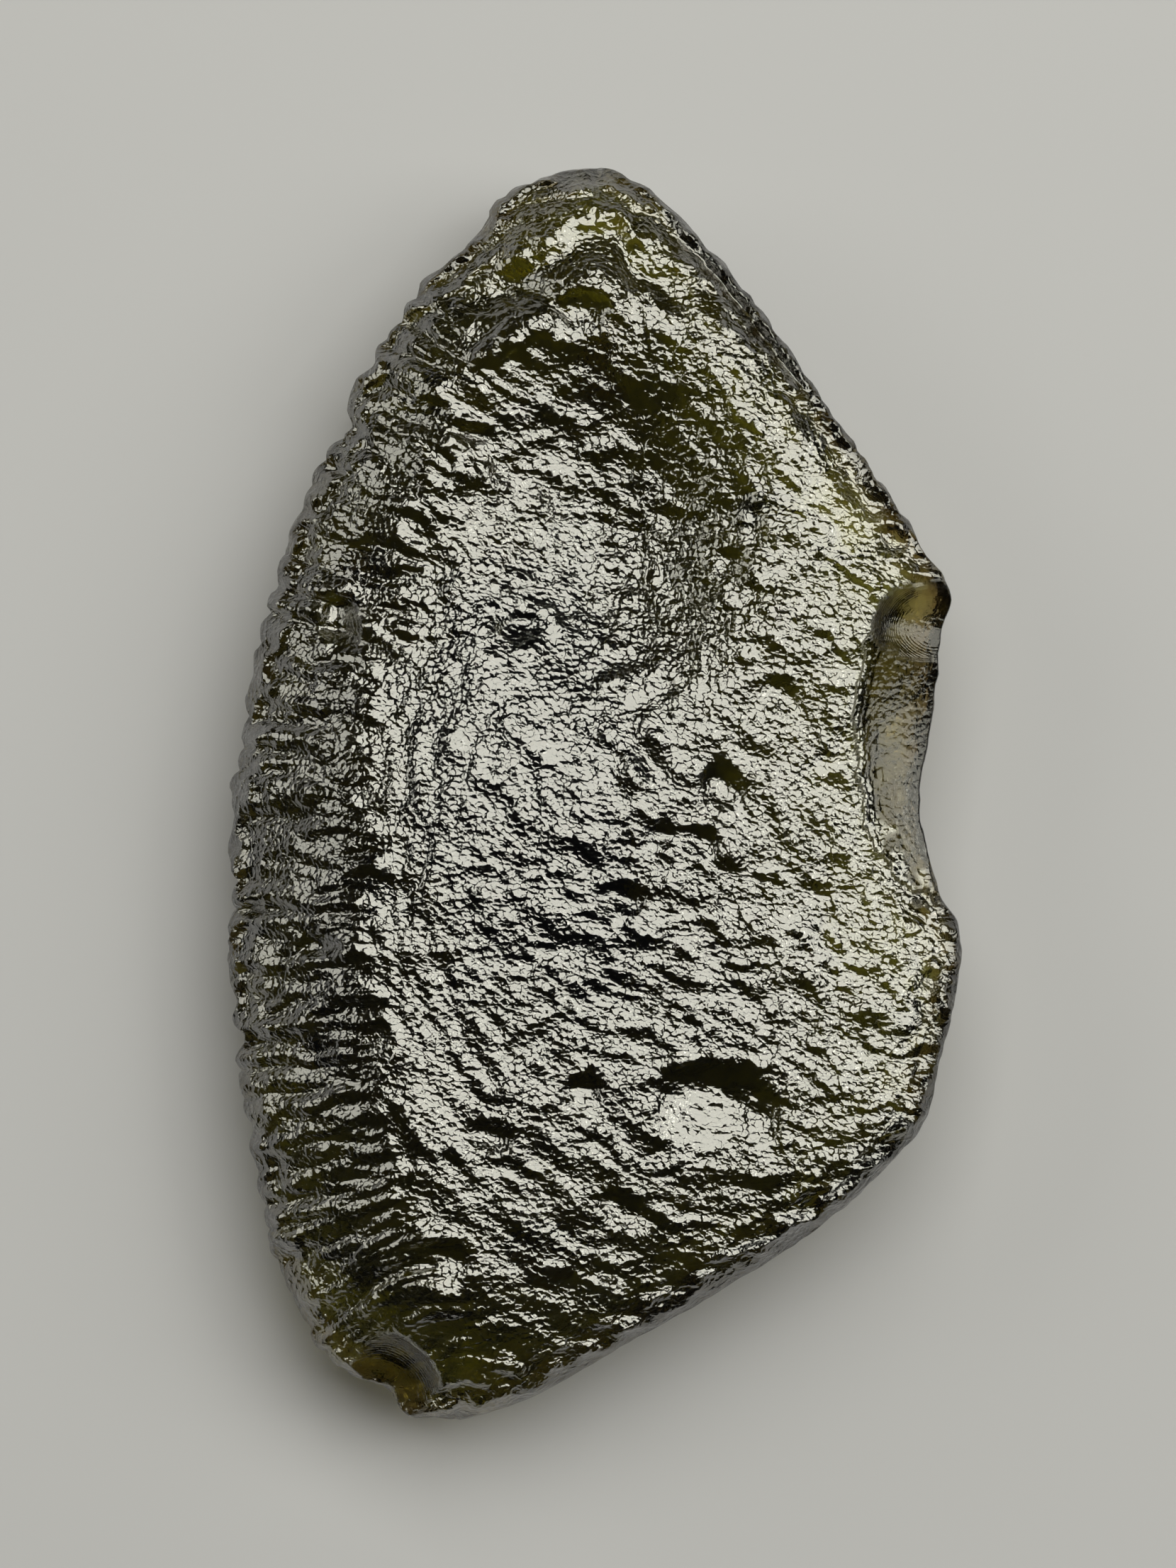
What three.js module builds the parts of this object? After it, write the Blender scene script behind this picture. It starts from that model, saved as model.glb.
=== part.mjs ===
// A moldavite: one flat, shield-shaped lump of natural glass, etched all over into ribs, cups and pits.
// Millimetres, +Z up. The stone lies on its back. +Y runs up its length to the narrow end and +X runs across
// it. The origin is on the surface that it rests on, under the middle of its outline.
import * as THREE from "three";
import { mergeVertices } from "three/addons/utils/BufferGeometryUtils.js";

// Driving dimensions
const LENGTH = 50.0;
const WIDTH = 29.3;
const EDGE_HEIGHT = 4.1; // of the outline, over the surface below
const EDGE_WAVE = 0.35; // the outline rises and sinks by this along the stone
const EDGE_TILT = 0.09; // the outline climbs by this share of the way to the right
const BACK_DEPTH = 4.45; // of the round back under the outline, before the rest is ground flat
const BACK_ROUNDING = new THREE.Vector2(45, 95); // radii of the round back, across and along the stone
const BACK_MIDDLE = new THREE.Vector2(-0.9, 0.7); // the lowest place of the round back
const RIB_DEPTH = 0.45; // from a rib's crest to the furrow beside it, on both faces by the left edge
const NOTCH_DEPTH = 0.27; // of the notches that the furrows leave in the outline
const RIBS = 36; // along the left edge
const CUP_SIZE = new THREE.Vector2(2.4, 1.7); // of one etched cup, across and along the stone
const CUP_DEPTH = 0.5;
const SMALLEST_RISE = 0.3; // of the front over the level of the outline, away from it

// The surface is a net of rows, from points of the left edge to points of the right edge.
const ROWS = 3 * RIBS; // a notch and the two sides of a rib take one row each
const FRONT_COLUMNS = 32;
const BACK_COLUMNS = 13;
const TURN_ROWS = Math.round(ROWS / 16); // a row's direction at an edge is taken over this many rows each way

// The outline, as two chains of points from the blunt lower end to the narrow upper end.
const LEFT_EDGE = [
  [-5.2, -25.0], [-7.3, -24.9], [-8.3, -23.8], [-9.9, -23.2], [-11.0, -22.2], [-11.8, -20.6], [-12.9, -18.3],
  [-13.75, -14.6], [-14.35, -10.8], [-14.65, -7.6], [-14.65, -3.9], [-14.5, 0.2], [-14.0, 3.7], [-13.3, 7.2],
  [-12.3, 10.2], [-11.2, 13.0], [-10.1, 14.9], [-9.7, 16.6], [-8.2, 18.5], [-6.9, 20.4], [-5.3, 21.7],
  [-4.4, 22.6], [-3.7, 23.9], [-1.4, 24.8], [0.4, 25.0],
];
const RIGHT_EDGE = [
  [-5.2, -25.0], [-2.6, -24.2], [0.5, -22.5], [4.7, -20.1], [9.2, -17.2], [12.1, -14.5], [13.3, -12.9],
  [13.9, -10.6], [14.5, -8.2], [14.65, -5.4], [13.8, -3.6], [13.2, -1.2], [13.1, 0.5], [13.7, 3.6],
  [13.9, 6.2], [14.3, 8.0], [13.1, 10.2], [11.3, 12.8], [9.1, 16.1], [6.6, 19.6], [4.6, 22.0], [2.6, 24.0],
  [1.2, 24.8], [0.4, 25.0],
];
// Places along the stone of the four largest notches in the left edge.
const LARGE_NOTCHES = { at: [-13.3, -9.7, 14.9, 17.3], depth: 0.5, breadth: 0.5 };

// Height of the front over the outline, along the length: the broad rise of the middle, the fall to the lower
// end, and the lower narrow end.
const FRONT_PROFILE = [
  [-25.0, 2.2], [-23.0, 4.2], [-20.5, 5.2], [-16.0, 5.4], [-11.0, 5.45], [-6.0, 5.3], [0.0, 4.7], [6.0, 3.7],
  [10.0, 3.4], [14.0, 3.4], [18.0, 3.6], [22.0, 3.7], [25.0, 2.8],
];
// An oval basin lies under the narrow end: its middle, half breadth, half length and depth.
const BASIN = { x: 0.9, y: 10.8, halfBreadth: 7.0, halfLength: 10.4, depth: 1.9 };
// The plateau at the narrow end stands over a step. Its foot runs across the stone through these points, and
// the front comes back up to its own height over the fade below the foot.
const STEP_LINE = [[-8.0, 19.2], [-5.6, 19.9], [-3.3, 19.9], [-1.0, 21.1], [0.9, 22.0], [1.7, 20.8], [4.4, 20.4]];
const STEP = { height: 0.6, breadth: 1.5, fade: 1.4, insideFrom: 1.0, insideTo: 3.0 };
const LEFT_BEVEL_SLOPE = 0.62;
// How steeply the front comes up from the right edge, by the place along the stone.
const RIGHT_SLOPE = [
  [-25.0, 0.6], [-20.0, 0.4], [-14.0, 0.25], [10.0, 0.22], [14.0, 0.32], [18.0, 0.5], [25.0, 0.6],
];
const CREST_ROUNDING = 1.1;
const SMOOTHED = { from: 0.5, to: 1.5 }; // distances are smoothed this far in from the outline

// The back comes down from the left edge and the lower end more steeply than from the thin right edge.
const BACK_LEFT_SLOPE = 0.7;
const BACK_RIGHT_SLOPE = [[-25.0, 0.9], [-14.0, 0.8], [-8.0, 0.45], [10.0, 0.4], [18.0, 0.7], [25.0, 0.8]];

// The side of the stone over and under its outline: place along the stone, how far the side goes in, and how
// high or deep it is.
const LEFT_SIDE = [[-25.0, 1.0, 1.4], [-18.0, 0.9, 1.5], [12.0, 0.8, 1.6], [20.0, 0.5, 1.6], [25.0, 0.5, 1.6]];
const RIGHT_SIDE = [
  [-25.0, 1.1, 2.2], [-14.5, 0.9, 2.0], [-9.0, 0.6, 1.3], [-4.0, 0.5, 1.1], [8.0, 0.5, 1.1], [14.0, 0.5, 1.4],
  [25.0, 0.5, 1.8],
];
const BACK_LEFT_SIDE = [[-25.0, 1.1, 1.3], [25.0, 1.0, 1.1]];
const BACK_RIGHT_SIDE = [
  [-25.0, 1.2, 1.4], [-14.0, 1.1, 1.2], [-8.0, 0.8, 0.7], [-2.0, 0.7, 0.5], [8.0, 0.7, 0.5], [14.0, 0.8, 0.9],
  [25.0, 1.0, 1.1],
];

// Flow lines bend round this point, beyond the first reach from it.
const FLOW = { x: 6.0, y: -3.0, first: 9.0, spacing: 1.7, height: 0.16, sway: 0.5 };

// Pits and bubbles: middle, length, breadth, turn of the length from +X, depth. A lump has a depth under 0.
const PITS = [
  { x: -9.8, y: 6.5, length: 2.9, breadth: 1.7, turn: 100, depth: 0.75 },
  { x: -10.6, y: -6.1, length: 2.0, breadth: 1.2, turn: -10, depth: 0.55 },
  { x: -2.8, y: 18.2, length: 4.8, breadth: 1.5, turn: 33, depth: -0.45 },
  { x: -0.4, y: 18.9, length: 2.7, breadth: 2.0, turn: 12, depth: 0.6 },
  { x: 5.2, y: 0.1, length: 2.6, breadth: 1.9, turn: 115, depth: 0.55 },
  { x: 2.4, y: 2.3, length: 3.0, breadth: 1.2, turn: 125, depth: -0.2 },
  { x: 1.0, y: 4.6, length: 2.6, breadth: 1.0, turn: 20, depth: -0.2 },
  { x: 2.5, y: 1.2, length: 2.2, breadth: 1.8, turn: 115, depth: 0.3 },
  { x: 7.3, y: 3.8, length: 2.4, breadth: 1.7, turn: -10, depth: 0.35 },
  { x: 1.2, y: -4.2, length: 2.5, breadth: 1.6, turn: -8, depth: 0.45 },
  { x: -0.3, y: -11.7, length: 1.8, breadth: 1.4, turn: 0, depth: 0.3 },
  { x: 5.0, y: -12.6, length: 5.6, breadth: 4.2, turn: -22, depth: 0.75 },
  { x: 1.6, y: -16.6, length: 3.2, breadth: 1.6, turn: -35, depth: 0.4 },
  { x: -3.8, y: -13.6, length: 2.2, breadth: 1.4, turn: -30, depth: 0.4 },
  { x: -6.0, y: -18.4, length: 3.0, breadth: 2.0, turn: 0, depth: 0.5 },
  { x: 2.8, y: -1.8, length: 1.8, breadth: 1.4, turn: 10, depth: 0.3 },
  { x: 4.4, y: -1.9, length: 1.9, breadth: 1.2, turn: -12, depth: 0.3 },
  { x: -3.0, y: 6.3, length: 2.4, breadth: 1.6, turn: 30, depth: 0.35 },
  { x: 0.7, y: 13.9, length: 1.5, breadth: 1.2, turn: 0, depth: -0.25 },
  { x: -4.6, y: 12.8, length: 1.8, breadth: 1.4, turn: 20, depth: -0.3 },
  { x: -4.5, y: 14.0, length: 1.6, breadth: 1.2, turn: 0, depth: 0.4 },
  { x: 5.6, y: 9.0, length: 1.6, breadth: 1.1, turn: -20, depth: 0.25 },
];
const PIT_LEAN = 0.75; // a pit is deeper by this share at its +Y side and shallower at the other
const FLOOR_SHARE = 0.75; // of a pit's depth, in its middle
const BACK_PITS = [
  { x: -9.0, y: 8.4, length: 3.4, breadth: 2.2, turn: 60, depth: 0.8 },
  { x: 7.5, y: 10.8, length: 2.8, breadth: 2.4, turn: 20, depth: 0.5 },
  { x: 0.6, y: 16.9, length: 4.0, breadth: 2.4, turn: 95, depth: 0.9 },
  { x: 9.2, y: -6.5, length: 3.6, breadth: 2.4, turn: -50, depth: 0.5 },
  { x: -10.2, y: -10.8, length: 3.0, breadth: 2.0, turn: 80, depth: 0.8 },
  { x: -2.4, y: -18.6, length: 4.4, breadth: 2.8, turn: 15, depth: 1.0 },
];

// Shell-shaped chips: each is the part of an ellipsoid's underside that dips below the front.
const CHIPS = [
  { x: 14.5, y: 1.7, z: 11.6, reach: [6.5, 11.9, 6.0] },
  { x: 13.6, y: 6.6, z: 7.7, reach: [2.7, 2.2, 2.0] },
  { x: -8.4, y: -24.4, z: 7.6, reach: [3.0, 3.4, 3.2] },
];

// A number from 0 to 1 that is always the same for the same three whole numbers.
function chance(i, j, seed) {
  const value = Math.sin(i * 127.1 + j * 311.7 + seed * 74.7) * 43758.5453;
  return value - Math.floor(value);
}

// From 0 below the first limit to 1 above the second.
function ease(from, to, value) {
  return THREE.MathUtils.smoothstep(value, from, to);
}

// The smaller of two heights, with a rounded crest where they meet.
function roundedMin(a, b, rounding) {
  const share = THREE.MathUtils.clamp(0.5 + (0.5 * (b - a)) / rounding, 0, 1);
  return THREE.MathUtils.lerp(b, a, share) - rounding * share * (1 - share);
}

// A smooth curve through a column of a table whose first column is the place along the stone.
function along(table, y, column = 1) {
  let high = 1;
  while (high < table.length - 1 && table[high][0] < y) high += 1;
  const slope = (row) => {
    const [before, after] = [table[Math.max(row - 1, 0)], table[Math.min(row + 1, table.length - 1)]];
    return (after[column] - before[column]) / (after[0] - before[0]);
  };
  const [from, to] = [table[high - 1], table[high]];
  const span = to[0] - from[0];
  const t = THREE.MathUtils.clamp((y - from[0]) / span, 0, 1);
  const bend = ease(0, 1, t);
  return (
    from[column] * (1 - bend) + to[column] * bend +
    span * t * (1 - t) * (slope(high - 1) * (1 - t) - slope(high) * t)
  );
}

// The distance to a chain of points joined by straight lines, and the closest place along it from 0 to 1.
// Further in, both are smoothed over the chain's bends: each line counts by its length over the fourth power
// of the distance to its middle, which gives the plain distance to a chain that is straight.
function nearest(chain, x, y) {
  const stretches = chain.length - 1;
  let [distance, place, pull, pulledPlace] = [Infinity, 0, 0, 0];
  for (let i = 0; i < stretches; i += 1) {
    const [dx, dy] = [chain[i + 1].x - chain[i].x, chain[i + 1].y - chain[i].y];
    const share = ((x - chain[i].x) * dx + (y - chain[i].y) * dy) / (dx * dx + dy * dy);
    const t = THREE.MathUtils.clamp(share, 0, 1);
    const found = Math.hypot(chain[i].x + t * dx - x, chain[i].y + t * dy - y);
    if (found < distance) {
      distance = found;
      place = (i + t) / stretches;
    }
    const weight = Math.hypot(dx, dy) / Math.hypot(chain[i].x + dx / 2 - x, chain[i].y + dy / 2 - y) ** 4;
    pull += weight;
    pulledPlace += (weight * (i + 0.5)) / stretches;
  }
  const inside = ease(SMOOTHED.from, SMOOTHED.to, distance);
  return {
    distance: THREE.MathUtils.lerp(distance, ((2 * pull) / Math.PI) ** (-1 / 3), inside),
    place: THREE.MathUtils.lerp(place, pulledPlace / pull, inside),
  };
}

// Overlapping cups that meet in sharp crests: 0 in the middle of a cup, and up to 1 on a crest.
function cups(x, y, seed) {
  const [column, row] = [Math.floor(x), Math.floor(y)];
  let closest = 1;
  for (let i = column - 1; i <= column + 1; i += 1) {
    for (let j = row - 1; j <= row + 1; j += 1) {
      const across = i + 0.1 + 0.8 * chance(i, j, seed) - x;
      const up = j + 0.1 + 0.8 * chance(j, i, seed + 1) - y;
      closest = Math.min(closest, across * across + up * up);
    }
  }
  return closest;
}

// How deep a list of pits is at a point. Each is an oval bowl, deepest towards +Y, so that its upper wall is
// steep and its floor climbs towards -Y. A lump is the other way round.
function pitDepth(pits, x, y) {
  return pits.reduce((sum, pit) => {
    const turn = THREE.MathUtils.degToRad(pit.turn);
    const [dx, dy] = [x - pit.x, y - pit.y];
    const lengthways = (2 * (dx * Math.cos(turn) + dy * Math.sin(turn))) / pit.length;
    const sideways = (2 * (dy * Math.cos(turn) - dx * Math.sin(turn))) / pit.breadth;
    const bowl = Math.max(0, 1 - lengthways * lengthways - sideways * sideways);
    const up = (4 * dy) / (pit.length + pit.breadth);
    const lean = FLOOR_SHARE + PIT_LEAN * THREE.MathUtils.clamp(up * Math.sign(pit.depth), -1, 1);
    return sum + pit.depth * bowl * lean;
  }, 0);
}

// A quarter-round side of a given height, reached at a given distance from the outline.
function side(distance, reach, height) {
  const left = 1 - Math.min(distance / reach, 1);
  return height * Math.sqrt(1 - left * left);
}

// Ribs of uneven breadth and height, counted along the left edge: 0 in the notch between two of them.
function rib(place) {
  const across = place * RIBS + 0.4 * Math.sin(61 * place) - 0.4 * Math.sin(61) * place;
  return Math.abs(Math.sin(Math.PI * across)) * (0.55 + 0.45 * chance(Math.floor(across), 0, 3));
}

// The level of the outline at a point, which front and back are measured from.
function level(x, y) {
  return EDGE_HEIGHT + EDGE_TILT * x + EDGE_WAVE * Math.sin(y / 8.5 + 0.6) * Math.cos(x / 9 - 0.5);
}

const spread = (points) => new THREE.SplineCurve(points.map(([x, y]) => new THREE.Vector2(x, y)));
const leftChain = spread(LEFT_EDGE).getSpacedPoints(ROWS);
const rightChain = spread(RIGHT_EDGE).getSpacedPoints(ROWS);

// How far the front stands over the level of the outline: the least of a bevel from the left edge, a fall to
// the right edge and the profile, less the step and the basin, with ribs, cups, pits and chips.
function frontRise(x, y, left, right) {
  const leftSide = side(left.distance, along(LEFT_SIDE, y), along(LEFT_SIDE, y, 2));
  const rightSide = side(right.distance, along(RIGHT_SIDE, y), along(RIGHT_SIDE, y, 2));
  const bevel = leftSide + LEFT_BEVEL_SLOPE * left.distance;
  const fall = rightSide + along(RIGHT_SLOPE, y) * right.distance;
  let rise = roundedMin(roundedMin(bevel, fall, CREST_ROUNDING), along(FRONT_PROFILE, y), CREST_ROUNDING);

  const edge = Math.min(left.distance, right.distance);
  const inner = ease(0, 1.4, edge);
  const foot = along(STEP_LINE, x);
  const offStep = 1 - ease(foot, foot + STEP.breadth, y);
  const belowStep = offStep * Math.exp(-((Math.max(foot - y, 0) / STEP.fade) ** 2));
  rise -= inner * STEP.height * belowStep * ease(STEP.insideFrom, STEP.insideTo, edge);
  const aside = ((x - BASIN.x) / BASIN.halfBreadth) ** 2 + ((y - BASIN.y) / BASIN.halfLength) ** 2;
  rise -= inner * BASIN.depth * Math.max(1 - aside, 0) ** 2;
  const onBevel = 1 - ease(5.0, 7.0, left.distance);
  rise += inner * onBevel * 1.3 * RIB_DEPTH * (rib(left.place) - 0.5);

  const reach = Math.hypot(x - FLOW.x, y - FLOW.y);
  const flowing = ease(FLOW.first, FLOW.first + 2, reach) * (1 - onBevel) * (1 - ease(4, 9, y));
  const swaying = reach + FLOW.sway * Math.sin(0.9 * x) * Math.sin(0.7 * y + 1);
  rise += inner * flowing * FLOW.height * Math.cos((2 * Math.PI * swaying) / FLOW.spacing);
  rise += inner * (1 - 0.6 * onBevel) * CUP_DEPTH * (cups(x / CUP_SIZE.x, y / CUP_SIZE.y, 5) - 0.4);
  rise -= inner * pitDepth(PITS, x, y);

  for (const chip of CHIPS) {
    const [rx, ry, rz] = chip.reach;
    const share = 1 - ((x - chip.x) / rx) ** 2 - ((y - chip.y) / ry) ** 2;
    if (share > 0) rise = Math.min(rise, chip.z - rz * Math.sqrt(share) - level(x, y));
  }
  return Math.max(rise, SMALLEST_RISE * Math.min(edge, 1));
}

// How far the back lies under the level of the outline: a round back with cups, pits and ribs round the
// place that it rests on.
function backDrop(x, y, left, right) {
  const leftSide = side(left.distance, along(BACK_LEFT_SIDE, y), along(BACK_LEFT_SIDE, y, 2));
  const rightSide = side(right.distance, along(BACK_RIGHT_SIDE, y), along(BACK_RIGHT_SIDE, y, 2));
  const fromLeft = leftSide + BACK_LEFT_SLOPE * left.distance;
  const fromRight = rightSide + along(BACK_RIGHT_SLOPE, y) * right.distance;
  const [dx, dy] = [x - BACK_MIDDLE.x, y - BACK_MIDDLE.y];
  const depth = BACK_DEPTH + level(x, y) - EDGE_HEIGHT;
  const round = depth - (dx * dx) / (2 * BACK_ROUNDING.x) - (dy * dy) / (2 * BACK_ROUNDING.y);
  let drop = roundedMin(roundedMin(fromLeft, fromRight, CREST_ROUNDING), round, CREST_ROUNDING);

  const edge = Math.min(left.distance, right.distance);
  const etched = ease(0, 1.2, edge) * ease(0.8, 1.6, Math.hypot(dx / 6.2, dy / 8.0));
  drop -= etched * 1.3 * CUP_DEPTH * cups(x / 2.8, y / 2.3, 11);
  drop -= etched * (1 - ease(2.5, 5.0, left.distance)) * RIB_DEPTH * (rib(left.place) - 0.5);
  drop -= etched * pitDepth(BACK_PITS, x, y);
  return Math.max(drop, SMALLEST_RISE * Math.min(edge, 1));
}

function frontHeight(x, y) {
  return level(x, y) + frontRise(x, y, nearest(leftChain, x, y), nearest(rightChain, x, y));
}

function backHeight(x, y) {
  return Math.max(level(x, y) - backDrop(x, y, nearest(leftChain, x, y), nearest(rightChain, x, y)), 0);
}

// The direction square to a stretch of a chain round one of its points, turned to its left as the chain runs
// upwards. The stretch is long, so that neighbouring rows never cross.
function squareTo(chain, row) {
  const [behind, ahead] = [chain[Math.max(row - TURN_ROWS, 0)], chain[Math.min(row + TURN_ROWS, ROWS)]];
  return new THREE.Vector2(behind.y - ahead.y, ahead.x - behind.x).normalize();
}

// The left edge with its notches, which bite inwards, square to the edge.
function notchedLeft(row) {
  const point = leftChain[row].clone();
  if (row === 0 || row === ROWS) return point;
  const ends = Math.sin((Math.PI * row) / ROWS) ** 0.3;
  const bite = (at) => LARGE_NOTCHES.depth * Math.exp(-(((point.y - at) / LARGE_NOTCHES.breadth) ** 2));
  const large = LARGE_NOTCHES.at.reduce((sum, at) => sum + bite(at), 0);
  const small = NOTCH_DEPTH * (1 - rib(row / ROWS)) ** 2;
  return point.addScaledVector(squareTo(leftChain, row), -ends * (small + large));
}

// A row leaves both edges square to the outline. The share runs from 0 at the left to 1 at the right.
function rowPoint(row, share) {
  const [from, to] = [notchedLeft(row), rightChain[row]];
  const span = from.distanceTo(to);
  const bend = ease(0, 1, share);
  return from
    .multiplyScalar(1 - bend)
    .addScaledVector(to, bend)
    .addScaledVector(squareTo(leftChain, row), -span * share * (1 - share) ** 2)
    .addScaledVector(squareTo(rightChain, row), span * share ** 2 * (1 - share));
}

// Across a row the net is closer near both edges.
function acrossShare(column, columns) {
  const share = column / columns;
  return share - (0.5 * Math.sin(2 * Math.PI * share)) / (2 * Math.PI);
}

function moldaviteGeometry() {
  const around = FRONT_COLUMNS + BACK_COLUMNS;
  const corners = [];
  for (let row = 0; row <= ROWS; row += 1) {
    for (let step = 0; step <= around; step += 1) {
      const onFront = step <= FRONT_COLUMNS;
      const share = onFront
        ? acrossShare(step, FRONT_COLUMNS)
        : acrossShare(around - step, BACK_COLUMNS);
      const { x, y } = rowPoint(row, share);
      const atEdge = share === 0 || share === 1;
      const z = atEdge ? level(x, y) : onFront ? frontHeight(x, y) : backHeight(x, y);
      corners.push(x, y, z);
    }
  }
  const faces = [];
  for (let row = 0; row < ROWS; row += 1) {
    for (let step = 0; step < around; step += 1) {
      const low = row * (around + 1) + step;
      const high = low + around + 1;
      faces.push(low, low + 1, high + 1, low, high + 1, high);
    }
  }
  const net = new THREE.BufferGeometry();
  net.setAttribute("position", new THREE.Float32BufferAttribute(corners, 3));
  net.setIndex(faces);
  return fitted(withoutFlatFaces(mergeVertices(net, 1e-4)));
}

// Faces that have two corners in one place, at the two ends of the net, are left out.
function withoutFlatFaces(geometry) {
  const index = geometry.index.array;
  const kept = [];
  for (let i = 0; i < index.length; i += 3) {
    const [a, b, c] = [index[i], index[i + 1], index[i + 2]];
    if (a !== b && b !== c && c !== a) kept.push(a, b, c);
  }
  return geometry.setIndex(kept);
}

// Brings the outline to its exact length and width, round the origin.
function fitted(geometry) {
  geometry.computeBoundingBox();
  const size = geometry.boundingBox.getSize(new THREE.Vector3());
  const middle = geometry.boundingBox.getCenter(new THREE.Vector3());
  geometry.translate(-middle.x, -middle.y, -geometry.boundingBox.min.z);
  geometry.scale(WIDTH / size.x, LENGTH / size.y, 1);
  geometry.computeVertexNormals();
  return geometry;
}

const bottleGreenGlass = new THREE.MeshStandardMaterial({
  color: 0x3c4420,
  roughness: 0.3,
  metalness: 0.0,
  transparent: true,
  opacity: 0.85,
});

const moldavite = new THREE.Mesh(moldaviteGeometry(), bottleGreenGlass);
moldavite.name = "moldavite";

const stone = new THREE.Group();
stone.add(moldavite);

export default stone;
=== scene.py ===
import math

import bpy
import numpy as np
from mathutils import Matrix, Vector
from bpy.props import FloatProperty, FloatVectorProperty, IntProperty, PointerProperty


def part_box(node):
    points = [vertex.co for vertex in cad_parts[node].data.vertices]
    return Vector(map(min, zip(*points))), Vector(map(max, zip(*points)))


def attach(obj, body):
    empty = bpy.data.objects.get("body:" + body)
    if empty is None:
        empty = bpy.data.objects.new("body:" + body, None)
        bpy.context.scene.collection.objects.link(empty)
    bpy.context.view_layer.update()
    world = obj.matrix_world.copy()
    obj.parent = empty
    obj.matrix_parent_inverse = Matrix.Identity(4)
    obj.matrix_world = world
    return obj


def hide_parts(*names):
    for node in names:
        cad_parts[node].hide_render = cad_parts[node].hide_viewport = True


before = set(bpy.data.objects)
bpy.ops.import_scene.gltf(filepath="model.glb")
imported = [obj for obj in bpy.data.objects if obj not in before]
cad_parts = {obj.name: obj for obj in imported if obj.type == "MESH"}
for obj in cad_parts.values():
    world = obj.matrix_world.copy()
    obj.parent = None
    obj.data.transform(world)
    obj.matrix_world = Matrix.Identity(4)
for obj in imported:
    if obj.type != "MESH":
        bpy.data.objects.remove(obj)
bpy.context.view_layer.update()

bl_info = {
    "name": "Moldavite",
    "version": (1, 0, 0),
    "blender": (4, 5, 0),
    "location": "3D View > Sidebar > Moldavite",
    "description": "An etched, shield-shaped moldavite and the soft light it is looked at in",
    "category": "Add Mesh",
}

MM = 0.001

# The outline of the stone in millimetres, as two chains from the blunt lower end to the narrow upper end.
LEFT_EDGE = [
    (-5.2, -25.0), (-7.3, -24.9), (-8.3, -23.8), (-9.9, -23.2), (-11.0, -22.2), (-11.8, -20.6),
    (-12.9, -18.3), (-13.75, -14.6), (-14.35, -10.8), (-14.65, -7.6), (-14.65, -3.9), (-14.5, 0.2),
    (-14.0, 3.7), (-13.3, 7.2), (-12.3, 10.2), (-11.2, 13.0), (-10.1, 14.9), (-9.7, 16.6),
    (-8.2, 18.5), (-6.9, 20.4), (-5.3, 21.7), (-4.4, 22.6), (-3.7, 23.9), (-1.4, 24.8), (0.4, 25.0),
]
RIGHT_EDGE = [
    (-5.2, -25.0), (-2.6, -24.2), (0.5, -22.5), (4.7, -20.1), (9.2, -17.2), (12.1, -14.5), (13.3, -12.9),
    (13.9, -10.6), (14.5, -8.2), (14.65, -5.4), (13.8, -3.6), (13.2, -1.2), (13.1, 0.5), (13.7, 3.6),
    (13.9, 6.2), (14.3, 8.0), (13.1, 10.2), (11.3, 12.8), (9.1, 16.1), (6.6, 19.6), (4.6, 22.0),
    (2.6, 24.0), (1.2, 24.8), (0.4, 25.0),
]
LARGE_NOTCHES = {"at": (-13.3, -9.7, 14.9, 17.3), "depth": 0.5, "breadth": 0.5}
RIBS = 36
RIB_DEPTH = 0.45  # of the furrows between the ribs, on both faces by the left edge
NOTCH_DEPTH = 0.27  # of the notches that the furrows leave in the outline
RAGGED_DEPTH = 0.45  # of the fine teeth of both edges
EDGE_LENGTH = 57.0  # of either edge, from the lower end to the upper

# The outline over the floor: its height, its slow wave, and its rise to the right per millimetre.
EDGE_HEIGHT = 4.1
EDGE_WAVE = 0.35
EDGE_TILT = 0.09
SMALLEST_RISE = 0.3  # of either face a millimetre inside the outline
CREST_ROUNDING = 1.1  # where two slopes of a face meet
SMOOTHED = (0.5, 1.5)  # distances from an edge over which its bends are smoothed out

# Height of the front over the outline, along the length.
FRONT_PROFILE = [
    (-25.0, 2.2), (-23.0, 4.2), (-20.5, 5.2), (-16.0, 5.4), (-11.0, 5.45), (-6.0, 5.3), (0.0, 4.7),
    (6.0, 3.7), (10.0, 3.4), (14.0, 3.4), (18.0, 3.6), (22.0, 3.7), (25.0, 2.8),
]
# The plateau at the narrow end stands over a step. Its foot runs across the stone through these points, and
# the front comes back up to its own height over the fade below the foot. An oval basin lies further down.
STEP_LINE = [(-8.0, 19.2), (-5.6, 19.9), (-3.3, 19.9), (-1.0, 21.1), (0.9, 22.0), (1.7, 20.8), (4.4, 20.4)]
STEP = {"height": 0.6, "breadth": 1.5, "fade": 1.4, "inside": (1.0, 3.0), "waver": (0.25, 0.9, 18)}
BASIN = {"x": 0.9, "y": 10.8, "half_x": 7.0, "half_y": 10.4, "depth": 1.9}

# The slopes in from both edges, and the round back: its depth, its radii across and along, and its middle.
LEFT_BEVEL_SLOPE = 0.62
RIGHT_SLOPE = [
    (-25.0, 0.6), (-20.0, 0.4), (-14.0, 0.25), (10.0, 0.22), (14.0, 0.32), (18.0, 0.5), (25.0, 0.6),
]
BACK_LEFT_SLOPE = 0.7
BACK_RIGHT_SLOPE = [(-25.0, 0.9), (-14.0, 0.8), (-8.0, 0.45), (10.0, 0.4), (18.0, 0.7), (25.0, 0.8)]
BACK_DEPTH = 4.45
BACK_ROUNDING = (45.0, 95.0)
BACK_MIDDLE = (-0.9, 0.7)
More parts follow.
